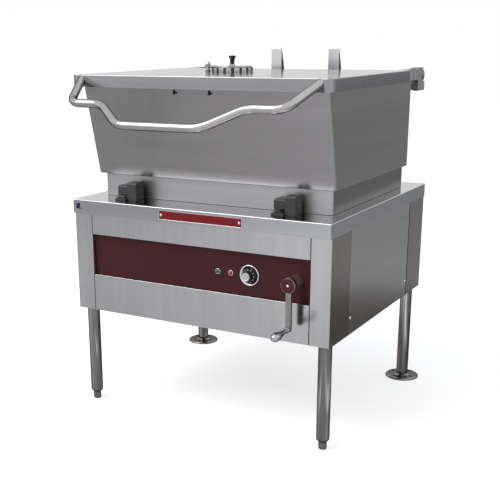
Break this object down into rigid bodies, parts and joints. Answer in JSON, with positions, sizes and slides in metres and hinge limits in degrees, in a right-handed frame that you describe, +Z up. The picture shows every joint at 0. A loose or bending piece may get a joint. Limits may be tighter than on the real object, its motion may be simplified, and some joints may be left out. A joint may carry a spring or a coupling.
{
  "type": "tilting bratt pan",
  "caption": "Stainless tilting bratt pan on four legs, with a hinged vented lid, a hand-cranked worm and sector tilt gear and a burgundy control panel",
  "frame": {"origin": "on the floor under the middle of the whole object's bounding box", "axes": "+X to the right as the cook sees it, +Y to the rear, +Z up"},
  "size_m": [0.9775, 1.0716, 1.174],
  "materials": {
    "stainless": "brushed stainless sheet, vertical grain",
    "bright": "polished plated steel",
    "dark_cast": "dark machined casting",
    "grey_cast": "grey casting",
    "burgundy": "burgundy gloss overlay",
    "black": "black phenolic",
    "ivory": "ivory terminal plastic",
    "bronze": "bronze",
    "green_lens": "green lamp lens",
    "red_lens": "red lamp lens",
    "navy": "navy plate"
  },
  "bodies": {
    "base": {"deck": "stainless", "corner_posts": "stainless", "side_panel_left": "stainless", "side_panel_right": "stainless", "panel_screws": "bright", "front_posts": "stainless", "upper_strip": "stainless", "control_panel": "burgundy", "lower_front_panel": "stainless", "back_panel": "stainless", "bottom_panel": "stainless", "leg_sockets": "grey_cast", "legs": "stainless", "pivot_blocks": "dark_cast", "pivot_block_bolts": "bright", "nameplate": "bright", "corner_tag": "navy", "lamp_bezels": "bright", "lamp_green": "green_lens", "lamp_red": "red_lens", "thermostat_body": "grey_cast", "dial_plate": "bright", "crank_bearing": "grey_cast", "gear_frame": "grey_cast", "contactor": "black", "terminal_block": "ivory", "cable_gland": "black"},
    "pan": {"pan_vessel": "stainless", "pan_skirt": "stainless", "heater_blocks": "grey_cast", "heater_cover": "stainless", "pan_lugs": "grey_cast", "pivot_pins": "bright", "sector_gear": "stainless", "hinge_brackets": "dark_cast", "hinge_shaft": "bronze", "cross_rail": "stainless", "rear_uprights": "stainless", "pan_hooks": "black"},
    "lid": {"lid_shell": "stainless", "lid_handle": "stainless", "hinge_arms": "stainless", "vent_ring": "stainless", "vent_post": "bright"},
    "vent_lid": {"vent_cover": "stainless", "vent_knob": "black"},
    "gear_shaft": {"cross_shaft": "stainless", "worm_wheel": "bronze", "pinion": "stainless"},
    "crank": {"crank_shaft": "stainless", "crank_arm": "grey_cast", "crank_disc": "burgundy", "crank_screw": "bright"},
    "grip": {"crank_grip": "bright"},
    "thermostat_dial": {"thermostat_knob": "black", "thermostat_cap": "bright"},
    "foot_1": {"foot_front_left": "stainless"},
    "foot_2": {"foot_front_right": "stainless"},
    "foot_3": {"foot_rear_left": "stainless"},
    "foot_4": {"foot_rear_right": "stainless"}
  },
  "joints": [
    {"name": "pan_tilt", "type": "hinge", "parent": "base", "child": "pan", "pos_m": [0, -0.25715, 0.74], "axis": [1, 0, 0], "range_deg": [0, 70]},
    {"name": "lid_lift", "type": "hinge", "parent": "pan", "child": "lid", "pos_m": [0, 0.51285, 1.083], "axis": [-1, 0, 0], "range_deg": [0, 95]},
    {"name": "vent_swing", "type": "hinge", "parent": "lid", "child": "vent_lid", "pos_m": [-0.171, 0.05685, 1.122], "axis": [0, 0, 1], "range_deg": [0, 110]},
    {"name": "gear_turn", "type": "hinge", "parent": "base", "child": "gear_shaft", "pos_m": [0.3145, -0.14048, 0.62333], "axis": [1, 0, 0], "range_deg": [-280, 0]},
    {"name": "crank_turn", "type": "hinge", "parent": "base", "child": "crank", "pos_m": [0.3445, -0.31345, 0.5275], "axis": [0, 1, 0], "range_deg": [0, 8400]},
    {"name": "grip_spin", "type": "hinge", "parent": "crank", "child": "grip", "pos_m": [0.3445, -0.42465, 0.3935], "axis": [0, 1, 0], "continuous": true},
    {"name": "thermostat_turn", "type": "hinge", "parent": "base", "child": "thermostat_dial", "pos_m": [0.186, -0.32715, 0.5255], "axis": [0, 1, 0], "range_deg": [0, 300]},
    {"name": "foot_screw_front_left", "type": "slide", "parent": "base", "child": "foot_1", "axis": [0, 0, -1], "range_m": [0, 0.025]},
    {"name": "foot_screw_front_right", "type": "slide", "parent": "base", "child": "foot_2", "axis": [0, 0, -1], "range_m": [0, 0.025]},
    {"name": "foot_screw_rear_left", "type": "slide", "parent": "base", "child": "foot_3", "axis": [0, 0, -1], "range_m": [0, 0.025]},
    {"name": "foot_screw_rear_right", "type": "slide", "parent": "base", "child": "foot_4", "axis": [0, 0, -1], "range_m": [0, 0.025]}
  ],
  "couplings": [
    {"joint": "gear_turn", "follows": "pan_tilt", "ratio": -4},
    {"joint": "crank_turn", "follows": "pan_tilt", "ratio": 120}
  ]
}
